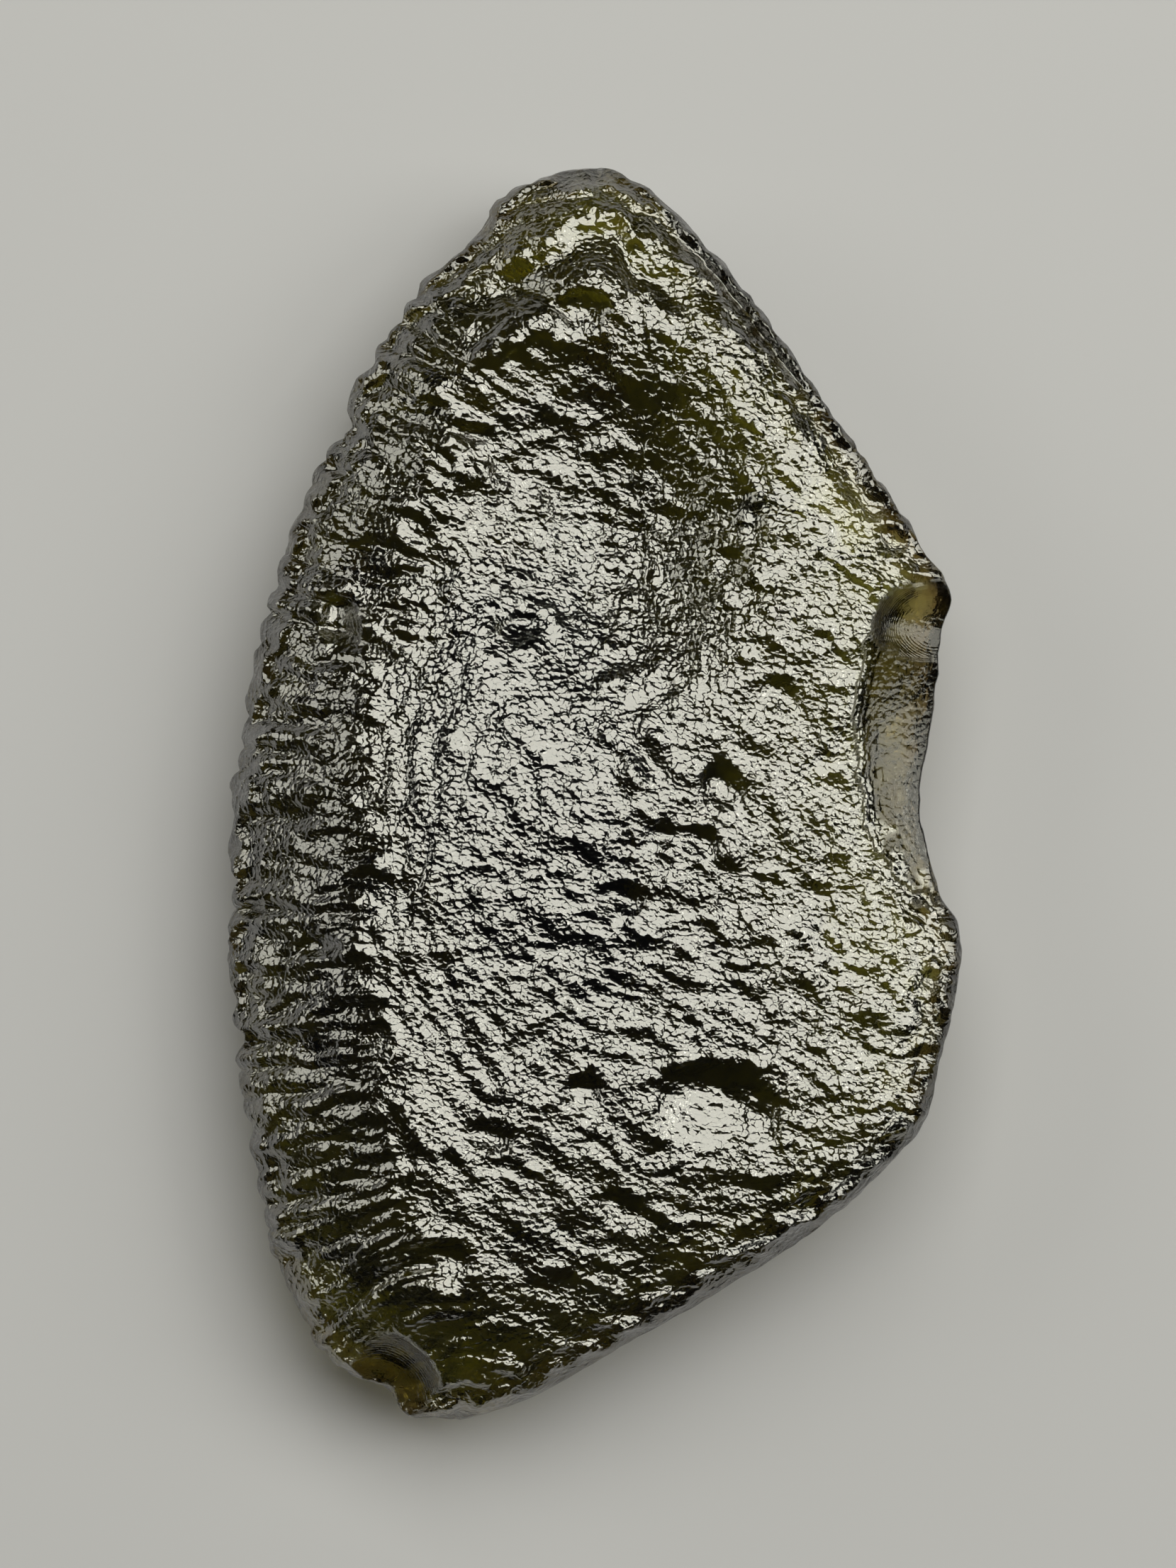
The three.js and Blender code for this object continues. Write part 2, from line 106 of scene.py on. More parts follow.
# The back's cups of two sizes: height, length across and along, seed, and how far they start from the
# outline and from the spot that the stone rests on, in half lengths of that spot.
REST_HALF = (6.2, 8.0)
BACK_TURN = 24.0
BACK_CUPS = (
    {"height": 0.5, "size": (2.6, 2.0), "seed": 11, "inside": (0.0, 1.2), "off_rest": (0.8, 1.6)},
    {"height": 0.2, "size": (1.0, 0.8), "seed": 13, "inside": (0.0, 0.5), "off_rest": (0.7, 1.2)},
)
BACK_RIBS_INSIDE = (2.5, 5.0)

# The side over and under the outline: place along the stone, how far it goes in, how high or deep it is.
LEFT_SIDE = [(-25.0, 1.0, 1.4), (-18.0, 0.9, 1.5), (12.0, 0.8, 1.6), (20.0, 0.5, 1.6), (25.0, 0.5, 1.6)]
RIGHT_SIDE = [
    (-25.0, 1.1, 2.2), (-14.5, 0.9, 2.0), (-9.0, 0.6, 1.3), (-4.0, 0.5, 1.1), (8.0, 0.5, 1.1),
    (14.0, 0.5, 1.4), (25.0, 0.5, 1.8),
]
BACK_LEFT_SIDE = [(-25.0, 1.1, 1.3), (25.0, 1.0, 1.1)]
BACK_RIGHT_SIDE = [
    (-25.0, 1.2, 1.4), (-14.0, 1.1, 1.2), (-8.0, 0.8, 0.7), (-2.0, 0.7, 0.5), (8.0, 0.7, 0.5),
    (14.0, 0.8, 0.9), (25.0, 1.0, 1.1),
]

# A waver is smooth noise: how far it reaches to either side, how far apart its values are, and its seed.
# Etched plates of two sizes: their depth is a share of their size, and their borders waver.
PLATES = ({"size": 1.9, "depth": 0.05, "seed": 0}, {"size": 0.75, "depth": 0.17, "seed": 5})
PLATE_MIDDLE = 0.1
PLATE_WAVER = (0.1, 0.7, 20)
# A plate is a hollow in a unit square: its radius, the highest ridge between two, and how much steeper its
# wall towards the narrow end is.
HOLLOW_RADII = (0.5, 0.95)
HIGHEST_RIDGE = 0.3
UPPER_WALL = 1.8
# The zones of the front: each has plates of its own size and stretch, in its own direction.
FIELD = {"turn": -28.0, "stretch": 1.1, "seed": 40, "waver": (0.35, 1.9, 24)}
BEVEL = {
    "end": (5.0, 7.0), "top": (19.0, 21.5), "top_lean": 0.35, "deepened": 2.6, "stretch": 3.2, "size": 0.65,
    "seed": 60, "smooth": 0.5, "smooth_from": (0.3, 1.0), "end_waver": (0.8, 2.2, 21),
    "row_waver": (0.25, 1.4, 26),
}
FLOW = {
    "x": 6.0, "y": -3.0, "first": 9.0, "fade": 2.5, "top": (3.0, 8.0), "turn": 14.0, "stretch": 1.6,
    "size": 0.8, "seed": 80, "ripple": 0.02, "spacing": 1.1, "wavers": ((0.45, 2.4, 22), (0.15, 0.8, 23)),
}
# Low swells of the front: height, length across and along the stone, seed.
SWELLS = ((0.06, 2.7, 2.1, 27), (0.03, 1.3, 1.0, 28))
# How far in from the outline the front's forms come up to full size.
FORMS_INSIDE = (0.0, 1.0)
PLATES_INSIDE = (0.0, 0.35)
RIBS_INSIDE = (1.5, 4.5)
KNOBS = {"depth": 0.35, "from": (0.0, 0.25), "to": (1.0, 2.0), "size": (0.9, 0.75), "seed": 97}
TOP_GROOVE = {"depth": 0.45, "inside": 0.75, "breadth": 0.22, "from": (15.0, 16.5), "to": (20.5, 22.5)}

# Pits: middle x, middle y, length, breadth, turn of the length from +X in degrees, depth. A lump has a depth
# under 0.
PIT_FLOOR = 0.75  # of a pit's depth, in its middle
PIT_LEAN = 0.75  # a pit is deeper by this share at its +Y side and shallower at the other
PIT_SMOOTH = {"share": 0.7, "from": (0.1, 0.3), "plates_lost": 0.5}
PITS = [
    (-9.8, 6.5, 2.9, 1.7, 100, 0.75),
    (-10.6, -6.1, 2.0, 1.2, -10, 0.55),
    (-2.8, 18.2, 4.8, 1.5, 33, -0.45),
    (-0.4, 18.9, 2.7, 2.0, 12, 0.6),
    (5.2, 0.1, 2.6, 1.9, 115, 0.55),
    (2.4, 2.3, 3.0, 1.2, 125, -0.2),
    (1.0, 4.6, 2.6, 1.0, 20, -0.2),
    (2.5, 1.2, 2.2, 1.8, 115, 0.3),
    (7.3, 3.8, 2.4, 1.7, -10, 0.35),
    (1.2, -4.2, 2.5, 1.6, -8, 0.45),
    (-0.3, -11.7, 1.8, 1.4, 0, 0.3),
    (5.0, -12.6, 5.6, 4.2, -22, 0.75),
    (1.6, -16.6, 3.2, 1.6, -35, 0.4),
    (-3.8, -13.6, 2.2, 1.4, -30, 0.4),
    (-6.0, -18.4, 3.0, 2.0, 0, 0.5),
    (2.8, -1.8, 1.8, 1.4, 10, 0.3),
    (4.4, -1.9, 1.9, 1.2, -12, 0.3),
    (-3.0, 6.3, 2.4, 1.6, 30, 0.35),
    (0.7, 13.9, 1.5, 1.2, 0, -0.25),
    (-4.6, 12.8, 1.8, 1.4, 20, -0.3),
    (-4.5, 14.0, 1.6, 1.2, 0, 0.4),
    (5.6, 9.0, 1.6, 1.1, -20, 0.25),
]
BACK_PITS = [
    (-9.0, 8.4, 3.4, 2.2, 60, 0.8),
    (7.5, 10.8, 2.8, 2.4, 20, 0.5),
    (0.6, 16.9, 4.0, 2.4, 95, 0.9),
    (9.2, -6.5, 3.6, 2.4, -50, 0.5),
    (-10.2, -10.8, 3.0, 2.0, 80, 0.8),
    (-2.4, -18.6, 4.4, 2.8, 15, 1.0),
]

# Shell-shaped chips: middle x, y, z of an ellipsoid, and its three half lengths. Their ripples and fine
# lines are at even steps out from that middle.
CHIP_RIPPLE = 0.003
CHIP_RIPPLES = 70.0
SHELL_LINES = 150.0
SHELL_LINE_HEIGHT = 0.06  # in grain heights
SHELL_SWAY = 9.0
CHIPS = [
    (14.5, 1.7, 11.6, 6.5, 11.9, 6.0),
    (13.6, 6.6, 7.7, 2.7, 2.2, 2.0),
    (-8.4, -24.4, 7.6, 3.0, 3.4, 3.2),
]

# The skin of the glass: its finest grain in cells per millimetre, and how gloss, roughness and stain change
# over it. Clumps are slow noise, of which the range given here is used.
CLUMP_RANGE = (0.3, 0.7)
GRAIN = {
    "noise": 5.0, "noise_height": 0.3, "waver": 0.16, "cells": (3.9, 4.2, 4.0), "tilt": 0.5,
    "depth": (0.6, 1.4),
}
SMOOTH_GRAIN = 0.4  # of the grain is left in the chips
ROUGHNESS = (0.12, 0.20)
CHIPPED = (0.75, 1.0)
GLOSS = {"edge": (0.1, 0.8), "least": 0.2, "chip": 0.1}
STAIN = {"wander": (-0.9, 0.9), "edge": (0.2, 2.2), "most": 0.95, "chip": 0.85}

# The camera's view in pixels: how many to a millimetre of the stone, its height, and its middle measured
# from the stone's middle.
PIXELS_PER_MM = 35.38
VIEW_HEIGHT = 2212
VIEW_MIDDLE = (-7.0, 14.5)

# The stage in metres: half the floor's breadth, the camera's distance from the outline, and each light's
# name, place and size. The camera's sensor is in millimetres.
FLOOR_HALF = 3.0
CAMERA_DISTANCE = 0.25
SENSOR = 36.0
WORLD_STRENGTH = 0.01
LIGHTS = (
    ("key", (0.10, 0.25, 0.50), (0.60, 0.44)),
    ("left", (-0.42, 0.18, 0.24), (0.30, 0.26)),
    ("right", (0.44, 0.08, 0.36), (0.26, 0.34)),
)


def ease(low, high, value):
    """0 below the low limit, 1 above the high one, and 3t^2 - 2t^3 in between."""
    t = np.clip((value - low) / (high - low), 0.0, 1.0)
    return t * t * (3.0 - 2.0 * t)


def mix(a, b, share):
    return a + (b - a) * share


def rounded_min(a, b, rounding):
    """The smaller of two heights, less a parabola where they are closer than the rounding."""
    share = np.clip(0.5 + 0.5 * (b - a) / rounding, 0.0, 1.0)
    return mix(b, a, share) - rounding * share * (1.0 - share)


def along(table, y, column=1):
    """A cubic curve through a column of a table, its slope at each row that of the line between the rows
    before and after it."""
    rows = np.array(table)
    places, values = rows[:, 0], rows[:, column]
    before = np.maximum(np.arange(len(rows)) - 1, 0)
    after = np.minimum(np.arange(len(rows)) + 1, len(rows) - 1)
    slopes = (values[after] - values[before]) / (places[after] - places[before])
    low = np.clip(np.searchsorted(places, y) - 1, 0, len(rows) - 2)
    span = places[low + 1] - places[low]
    t = np.clip((y - places[low]) / span, 0.0, 1.0)
    line = mix(values[low], values[low + 1], ease(0.0, 1.0, t))
    return line + span * t * (1.0 - t) * (slopes[low] * (1.0 - t) - slopes[low + 1] * t)


def chance(i, j, seed):
    """A number from 0 to 1 that is always the same for the same three whole numbers."""
    value = np.sin(i * 127.1 + j * 311.7 + seed * 74.7) * 43758.5453
    return value - np.floor(value)


def edge_chain(points, count):
    """Evenly spaced points of the curve through an edge's points, each stretch a cubic whose slope at a
    point is that of the line between its two neighbours."""
    knots = np.array([points[0], *points, points[-1]])
    t = np.linspace(0.0, len(points) - 1.0, 4000)
    low = np.minimum(t.astype(int), len(points) - 2)
    t = (t - low)[:, None]
    a, b, c, d = (knots[low + k] for k in range(4))
    curve = b + 0.5 * t * (c - a + t * (2 * a - 5 * b + 4 * c - d + t * (3 * (b - c) + d - a)))
    lengths = np.concatenate([[0.0], np.cumsum(np.hypot(*np.diff(curve, axis=0).T))])
    wanted = np.linspace(0.0, lengths[-1], count + 1)
    return np.column_stack([np.interp(wanted, lengths, curve[:, axis]) for axis in (0, 1)])


def nearest(chain, x, y):
    """The distance from each point to a chain of straight lines, and the closest place along it from 0 to
    1. Further in, both are smoothed over the chain's bends: each line counts by its length over the fourth
    power of the distance to its middle, which gives the plain distance to a chain that is straight."""
    stretches = len(chain) - 1
    distance = np.full(x.shape, np.inf)
    place = np.zeros(x.shape)
    pull = np.zeros(x.shape)
    pulled_place = np.zeros(x.shape)
    for i, (start, step) in enumerate(zip(chain[:-1], np.diff(chain, axis=0))):
        dx, dy = x - start[0], y - start[1]
        t = np.clip((dx * step[0] + dy * step[1]) / (step @ step), 0.0, 1.0)
        found = np.hypot(t * step[0] - dx, t * step[1] - dy)
        closer = found < distance
        distance = np.where(closer, found, distance)
        place = np.where(closer, (i + t) / stretches, place)
        square = (step[0] / 2 - dx) ** 2 + (step[1] / 2 - dy) ** 2
        weight = math.hypot(*step) / np.maximum(square * square, 1e-9)
        pull += weight
        pulled_place += weight * (i + 0.5) / stretches
    inside = ease(*SMOOTHED, distance)
    smoothed = (2.0 * pull / np.pi) ** (-1.0 / 3.0)
    return mix(distance, smoothed, inside), mix(place, pulled_place / pull, inside)


def hollows(u, v, seed):
    """Overlapping hollows, one round each scattered point per unit square, and everywhere the deepest of
    them: r (d^2 - 1) at d radii from the point, up to a highest ridge. Towards +v a hollow is shorter and
    steeper than towards -v."""
    least, most = HOLLOW_RADII
    column, row = np.floor(u), np.floor(v)
    height = np.full(u.shape, HIGHEST_RIDGE)
    for i in (-1, 0, 1):
        for j in (-1, 0, 1):
            cell_u, cell_v = column + i, row + j
            radius = least + (most - least) * chance(cell_u, cell_v, seed)
            across = (u - cell_u - chance(cell_u, cell_v, seed + 1)) / radius
            up = (v - cell_v - chance(cell_v, cell_u, seed + 2)) / radius
            up = np.where(up > 0.0, UPPER_WALL * up, up)
            height = np.minimum(height, radius * (across * across + up * up - 1.0))
    return height


def waves(x, y, seed):
    """Smooth noise from -1 to 1: chance values at whole numbers, eased in between."""
    column, row = np.floor(x), np.floor(y)
    tx, ty = ease(0.0, 1.0, x - column), ease(0.0, 1.0, y - row)
    low = mix(chance(column, row, seed), chance(column + 1, row, seed), tx)
    high = mix(chance(column, row + 1, seed), chance(column + 1, row + 1, seed), tx)
    return 2.0 * mix(low, high, ty) - 1.0


def waver(x, y, reach, over, seed):
    """Smooth noise from minus the reach to the reach, its values a distance apart."""
    return reach * waves(x / over, y / over, seed)


def wavered(x, y, reach, over, seed):
    """The two coordinates, each moved by a waver of its own."""
    return x + waver(x, y, reach, over, seed), y + waver(x, y, reach, over, seed + 1)


def turned(x, y, degrees):
    """The two coordinates along and across a direction."""
    c, s = math.cos(math.radians(degrees)), math.sin(math.radians(degrees))
    return x * c + y * s, y * c - x * s


def pit_depth(pits, x, y):
    """Depth of a list of oval hollows: 1 - d^2 at d half widths from the middle, and deepest towards +y, so
    that the upper wall is steep and the floor climbs towards -y. A lump is the other way round."""
    depth = np.zeros(x.shape)
    for middle_x, middle_y, length, breadth, turn, deepest in pits:
        a, b = turned(x - middle_x, y - middle_y, turn)
        out = np.sqrt((2.0 * a / length) ** 2 + (2.0 * b / breadth) ** 2)
        up = (y - middle_y) / (0.25 * (length + breadth))
        lean = PIT_FLOOR + PIT_LEAN * np.clip(up * np.sign(deepest), -1.0, 1.0)
        depth += deepest * np.maximum(1.0 - out * out, 0.0) * lean
    return depth


def side(distance, reach, height):
    """A quarter-round side: its full height at the reach from the outline."""
    left = 1.0 - np.minimum(distance / reach, 1.0)
    return height * np.sqrt(1.0 - left * left)


def rib(place):
    """Ribs of uneven breadth and height along the left edge: 0 in the notch between two of them."""
    across = place * RIBS + 0.4 * np.sin(61.0 * place) - 0.4 * math.sin(61.0) * place
    return np.abs(np.sin(np.pi * across)) * (0.55 + 0.45 * chance(np.floor(across), 0.0, 3))


def level(x, y):
    """The level of the outline, which front and back are measured from: a slow wave along the stone."""
    return EDGE_HEIGHT + EDGE_TILT * x + EDGE_WAVE * np.sin(y / 8.5 + 0.6) * np.cos(x / 9.0 - 0.5)


def shell_chips(x, y, rise):
    """The front less its shell-shaped chips, how much of a point is chip, and how near the chip's middle it
    is. A chip is where the underside of an ellipsoid dips below the front, with fine ripples at even steps
    out from its middle."""
    chipped = np.zeros(x.shape)
    shell = np.zeros(x.shape)
    for middle_x, middle_y, middle_z, rx, ry, rz in CHIPS:
        share = 1.0 - ((x - middle_x) / rx) ** 2 - ((y - middle_y) / ry) ** 2
        ripple = CHIP_RIPPLE * np.sin(CHIP_RIPPLES * share + 3.0 * waves(x / 2.0, y / 2.0, 31))
        scoop = middle_z - rz * np.sqrt(np.maximum(share, 0.0)) - level(x, y) + ripple
        below = ease(-0.05, 0.15, rise - scoop) * (share > 0.0)
        rise = mix(rise, np.minimum(rise, scoop), share > 0.0)
        chipped = np.maximum(chipped, below)
        shell = np.where(below > 0.0, np.maximum(share, 0.0), shell)
    return rise, chipped, shell


def relief(u, v, zone):
    """Etched relief on coordinates in millimetres: plates of two sizes, longer along u than along v by the
    zone's stretch, with wavering borders."""
    reach, over, seed = PLATE_WAVER
    u, v = wavered(u, v, reach, over, zone["seed"] + seed)
    height = PLATE_MIDDLE
    for plate in PLATES:
        size = plate["size"] * zone.get("size", 1.0)
        cups = hollows(u / (size * zone["stretch"]), v / size, zone["seed"] + plate["seed"])
        height = height + plate["depth"] * size * cups
    return height


def bevel_plates(x, y, left):
    """The plates in rows along the left bevel, and how much of a point is on the bevel."""
    left_distance, left_place = left
    share = 1.0 - ease(*BEVEL["end"], left_distance + waver(x, y, *BEVEL["end_waver"]))
    share = share * (1.0 - ease(*BEVEL["top"], y + BEVEL["top_lean"] * x))
    along_edge = left_place * EDGE_LENGTH + waver(x, y, *BEVEL["row_waver"])
    return BEVEL["deepened"] * relief(left_distance, along_edge, BEVEL), share


def flow_plates(x, y):
    """The plates along arcs round the flow middle, and how much of a point is in the flow."""
    reach = np.hypot(x - FLOW["x"], y - FLOW["y"])
    large, small = (waver(x, y, *values) for values in FLOW["wavers"])
    swaying = reach + large + small
    angle = np.arctan2(y - FLOW["y"], FLOW["x"] - x)
    share = ease(FLOW["first"], FLOW["first"] + FLOW["fade"], reach) * (1.0 - ease(*FLOW["top"], y))
    ripples = FLOW["ripple"] * np.cos(2.0 * np.pi * swaying / FLOW["spacing"])
    return relief(angle * FLOW["turn"], -swaying, FLOW) + ripples, share


def etching(x, y, left):
    """The etched relief of the front: the bevel's and the flow's plates, and over the rest plates that run
    down to the right. Also how much of a point is on the bevel."""
    bevel, bevel_share = bevel_plates(x, y, left)
    flow, flow_share = flow_plates(x, y)
    field = relief(*turned(*wavered(x, y, *FIELD["waver"]), FIELD["turn"]), FIELD)
    return mix(mix(field, bevel, bevel_share), flow, flow_share * (1.0 - bevel_share)), bevel_share


def step_and_basin(x, y, edge):
    """How far the front is sunken by the foot of the step and by the basin, and how much of a point is on
    the step's smooth face."""
    foot = along(STEP_LINE, x) + waver(x, y, *STEP["waver"])
    inside = ease(*STEP["inside"], edge)
    on_step = ease(foot, foot + STEP["breadth"], y)
    below_step = (1.0 - on_step) * np.exp(-(np.maximum(foot - y, 0.0) / STEP["fade"]) ** 2)
    aside = ((x - BASIN["x"]) / BASIN["half_x"]) ** 2 + ((y - BASIN["y"]) / BASIN["half_y"]) ** 2
    basin = BASIN["depth"] * np.maximum(1.0 - aside, 0.0) ** 2
    return basin + STEP["height"] * below_step * inside, 4.0 * on_step * (1.0 - on_step) * inside


def front_rise(x, y, left, right):
    """Height of the front over the outline's level, how smooth it is from 0 to 1, and how near a chip's
    middle. The height is the least of a bevel from the left edge, a fall to the right edge and the profile
    along the length, less the step and the basin, with ribs, plates, knobs, lumps and pits on it, a groove
    inside the upper right edge, and the chips taken off."""
    left_distance, left_place = left
    right_distance = right[0]
    bevel = side(left_distance, along(LEFT_SIDE, y), along(LEFT_SIDE, y, 2))
    bevel = bevel + LEFT_BEVEL_SLOPE * left_distance
    fall = side(right_distance, along(RIGHT_SIDE, y), along(RIGHT_SIDE, y, 2))
    fall = fall + along(RIGHT_SLOPE, y) * right_distance
    rise = rounded_min(rounded_min(bevel, fall, CREST_ROUNDING), along(FRONT_PROFILE, y), CREST_ROUNDING)

    edge = np.minimum(left_distance, right_distance)
    inner = ease(*FORMS_INSIDE, edge)
    sunken, step_face = step_and_basin(x, y, edge)
    plates, bevel_share = etching(x, y, left)
    ribbed = bevel_share * (1.0 - ease(*RIBS_INSIDE, left_distance))
    swells = sum(height * waves(x / across, y / along_y, seed) for height, across, along_y, seed in SWELLS)
    rise = rise + inner * (ribbed * RIB_DEPTH * (rib(left_place) - 0.5) + swells - sunken)

    pitted = inner * pit_depth(PITS, x, y)
    in_pit = ease(*PIT_SMOOTH["from"], np.abs(pitted))
    smooth = PIT_SMOOTH["share"] * np.maximum(in_pit, step_face)
    plates = ease(*PLATES_INSIDE, edge) * (1.0 - PIT_SMOOTH["plates_lost"] * smooth) * plates
    by_edge = ease(*KNOBS["from"], edge) * (1.0 - ease(*KNOBS["to"], edge))
    across, along_y = KNOBS["size"]
    knobs = hollows(x / across + 0.3 * y, y / along_y - 0.2 * x, KNOBS["seed"])
    knobs = KNOBS["depth"] * by_edge * knobs
    rise = rise + plates - pitted + knobs
    smooth_bevel = BEVEL["smooth"] * bevel_share * ease(*BEVEL["smooth_from"], left_distance)
    smooth = np.maximum(smooth, smooth_bevel)

    across_groove = (right_distance - TOP_GROOVE["inside"]) / TOP_GROOVE["breadth"]
    groove = TOP_GROOVE["depth"] * np.exp(-across_groove ** 2)
    rise = rise - groove * ease(*TOP_GROOVE["from"], y) * (1.0 - ease(*TOP_GROOVE["to"], y))
    rise, chipped, shell = shell_chips(x, y, rise)
    return np.maximum(rise, SMALLEST_RISE * np.minimum(edge, 1.0)), np.maximum(smooth, chipped), shell


def back_drop(x, y, left, right):
    """Depth of the back under the outline's level, and how smooth it is. The depth is the least of two
    slopes from the edges and a round back, with cups, ribs and pits round the spot that it rests on."""
    left_distance, left_place = left
    right_distance = right[0]
    left_side = side(left_distance, along(BACK_LEFT_SIDE, y), along(BACK_LEFT_SIDE, y, 2))
    right_side = side(right_distance, along(BACK_RIGHT_SIDE, y), along(BACK_RIGHT_SIDE, y, 2))
    from_left = left_side + BACK_LEFT_SLOPE * left_distance
    from_right = right_side + along(BACK_RIGHT_SLOPE, y) * right_distance
    dx, dy = x - BACK_MIDDLE[0], y - BACK_MIDDLE[1]
    depth = BACK_DEPTH + level(x, y) - EDGE_HEIGHT
    round_back = depth - dx * dx / (2.0 * BACK_ROUNDING[0]) - dy * dy / (2.0 * BACK_ROUNDING[1])
    drop = rounded_min(rounded_min(from_left, from_right, CREST_ROUNDING), round_back, CREST_ROUNDING)

    edge = np.minimum(left_distance, right_distance)
    off_rest = np.hypot(dx / REST_HALF[0], dy / REST_HALF[1])
    a, b = turned(x, y, BACK_TURN)
    large, small = (ease(*cups["inside"], edge) * ease(*cups["off_rest"], off_rest) for cups in BACK_CUPS)
    for cups, share in zip(BACK_CUPS, (large, small)):
        across, along_y = cups["size"]
        drop = drop - share * cups["height"] * hollows(a / across, b / along_y, cups["seed"])
    ribbed = large * (1.0 - ease(*BACK_RIBS_INSIDE, left_distance))
    pitted = large * pit_depth(BACK_PITS, x, y)
    drop = drop - ribbed * RIB_DEPTH * (rib(left_place) - 0.5) - pitted
    return np.maximum(drop, SMALLEST_RISE * np.minimum(edge, 1.0)), ease(0.1, 0.4, pitted)


def square_to(chain):
    """The direction square to a stretch of a chain round each of its points, turned to its left as it runs
    upwards. The stretch is long, so that neighbouring rows never cross."""
    last = len(chain) - 1
    row = np.arange(last + 1)
    turn_rows = round(last / 16)
    step = chain[np.minimum(row + turn_rows, last)] - chain[np.maximum(row - turn_rows, 0)]
    turned_step = np.column_stack([-step[:, 1], step[:, 0]])
    return turned_step / np.linalg.norm(turned_step, axis=1)[:, None]


def ragged(place, seed):
    """Fine uneven teeth of an edge, from 0 to 1: slow and quick smooth noise along it."""
    along_edge, still = place * EDGE_LENGTH, 0.0 * place
    slow = waves(along_edge / 0.9, still, seed)
    quick = waves(along_edge / 0.36, still, seed + 1)
    return 0.5 + 0.3 * slow + 0.2 * quick


def notched_left(chain):
    """The left edge with a notch between every two ribs and a few larger ones, biting inwards."""
    place = np.linspace(0.0, 1.0, len(chain))
    bite = NOTCH_DEPTH * (1.0 - rib(place)) ** 2 + RAGGED_DEPTH * ragged(place, 91)
    for at in LARGE_NOTCHES["at"]:
        bite += LARGE_NOTCHES["depth"] * np.exp(-((chain[:, 1] - at) / LARGE_NOTCHES["breadth"]) ** 2)
    bite *= np.abs(np.sin(np.pi * place)) ** 0.3
    bite[[0, -1]] = 0.0
    return chain - square_to(chain) * bite[:, None]


def ragged_right(chain):
    """The right edge with its fine teeth, biting inwards, larger towards the narrow end."""
    place = np.linspace(0.0, 1.0, len(chain))
    bite = RAGGED_DEPTH * ragged(place, 95) * (0.5 + ease(0.6, 0.8, place))
    bite *= np.abs(np.sin(np.pi * place)) ** 0.3
    return chain + square_to(chain) * bite[:, None]


def across_share(columns):
    """Shares across a row, closer near both edges: t - sin(2 pi t) / 4 pi."""
    t = np.linspace(0.0, 1.0, columns + 1)
    return t - 0.5 * np.sin(2.0 * np.pi * t) / (2.0 * np.pi)


def stone_surface(rows, front_columns, back_columns):
    """The closed surface of the stone on a net of rows and steps: a row is a cubic that leaves both edges
    square to the outline, run once over the front from left to right and back under the stone."""
    left_chain, right_chain = edge_chain(LEFT_EDGE, rows), edge_chain(RIGHT_EDGE, rows)
    left_square, right_square = square_to(left_chain), square_to(right_chain)
    start, end = notched_left(left_chain), ragged_right(right_chain)
    span = np.linalg.norm(end - start, axis=1)[:, None]
    share = np.concatenate([across_share(front_columns), across_share(back_columns)[::-1][1:-1]])[None, :]
    bend = ease(0.0, 1.0, share)
    x, y = (
        start[:, [k]] * (1.0 - bend) + end[:, [k]] * bend
        - left_square[:, [k]] * span * share * (1.0 - share) ** 2
        + right_square[:, [k]] * span * share ** 2 * (1.0 - share)
        for k in (0, 1)
    )
    fields = (x, y, *nearest(left_chain, x, y), *nearest(right_chain, x, y))
    x_over, y_over, *sides_over = (values[:, : front_columns + 1] for values in fields)
    x_under, y_under, *sides_under = (values[:, front_columns + 1 :] for values in fields)
    over, over_smooth, shell = front_rise(x_over, y_over, sides_over[:2], sides_over[2:])
    under, under_smooth = back_drop(x_under, y_under, sides_under[:2], sides_under[2:])
    off_edge = (share > 0.0) & (share < 1.0)
    z = level(x, y) + off_edge * np.concatenate([over, -under], axis=1)
    edge = np.minimum(fields[2], fields[4])
    attributes = {
        "smooth": np.concatenate([over_smooth, under_smooth], axis=1),
        "shell": np.concatenate([shell, np.zeros(under.shape)], axis=1),
        "edge": edge,
    }
    return x, y, np.maximum(z, 0.0), attributes


def stone_mesh(name, rows, front_columns, back_columns):
    """The net as a mesh: its first and last rows are one point each, and its steps join up into a ring."""
    x, y, z, attributes = stone_surface(rows, front_columns, back_columns)
    low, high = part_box("moldavite")
    fitted = [
        mix(low[k], high[k], (values - values.min()) / np.ptp(values))
        for k, values in ((0, x), (1, y))
    ]
    net = np.stack([*fitted, z * MM], axis=-1)
    around = net.shape[1]
    corners = np.concatenate([net[0, :1], net[1:-1].reshape(-1, 3), net[-1, :1]])
    ring = 1 + np.arange(around)
    following = 1 + (np.arange(around) + 1) % around
    low_band = np.arange(rows - 2)[:, None] * around
    high_band = low_band + around
    quads = [low_band + ring, low_band + following, high_band + following, high_band + ring]
    quads = np.stack(quads, axis=-1).reshape(-1, 4)
    to_last = (rows - 2) * around
    first = np.column_stack([np.zeros(around, int), following, ring])
    last = np.column_stack([ring + to_last, following + to_last, np.full(around, len(corners) - 1)])
    mesh = bpy.data.meshes.new(name)
    mesh.from_pydata(corners, [], [*first.tolist(), *quads.tolist(), *last.tolist()])
    mesh.polygons.foreach_set("use_smooth", np.ones(len(mesh.polygons), bool))
    for attribute, values in attributes.items():
        flat = np.concatenate([values[0, :1], values[1:-1].ravel(), values[-1, :1]])
        mesh.attributes.new(attribute, "FLOAT", "POINT").data.foreach_set("value", flat)
    mesh.update()
    return mesh


